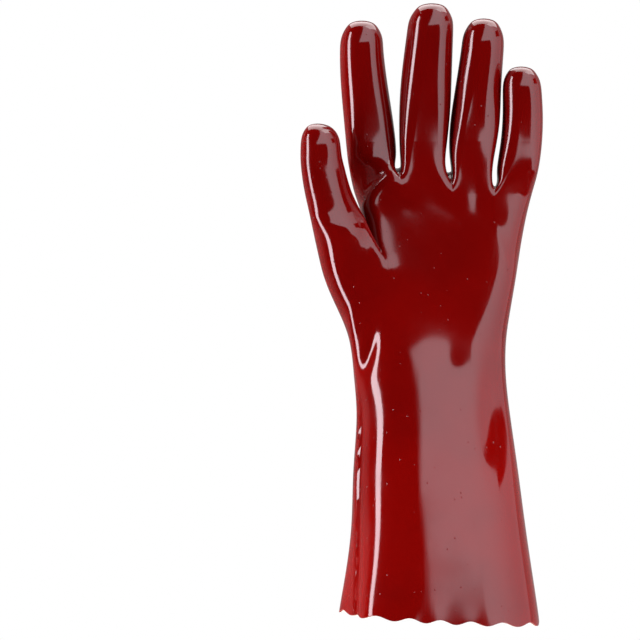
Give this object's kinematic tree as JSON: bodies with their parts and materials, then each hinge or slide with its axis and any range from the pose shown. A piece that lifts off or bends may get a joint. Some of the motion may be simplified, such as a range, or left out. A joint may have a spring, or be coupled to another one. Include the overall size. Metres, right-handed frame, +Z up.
{
  "type": "chemical resistant gauntlet glove",
  "caption": "Long glossy dark red PVC gauntlet glove for the left hand, with a flared cuff, a wavy cut hem and a knitted cotton lining",
  "frame": {"origin": "the middle of the cuff's mouth, where the forearm goes in", "axes": "+Z runs up the hand towards the fingertips, -Y is the way the palm faces, and the thumb is on the -X side"},
  "size_m": [0.1397, 0.0862, 0.3585],
  "materials": {
    "red_pvc": "high gloss, deep red",
    "natural_cotton": "knitted, matte"
  },
  "bodies": {
    "root": {"pvc_coating": "red_pvc", "cotton_liner": "natural_cotton"}
  },
  "joints": []
}
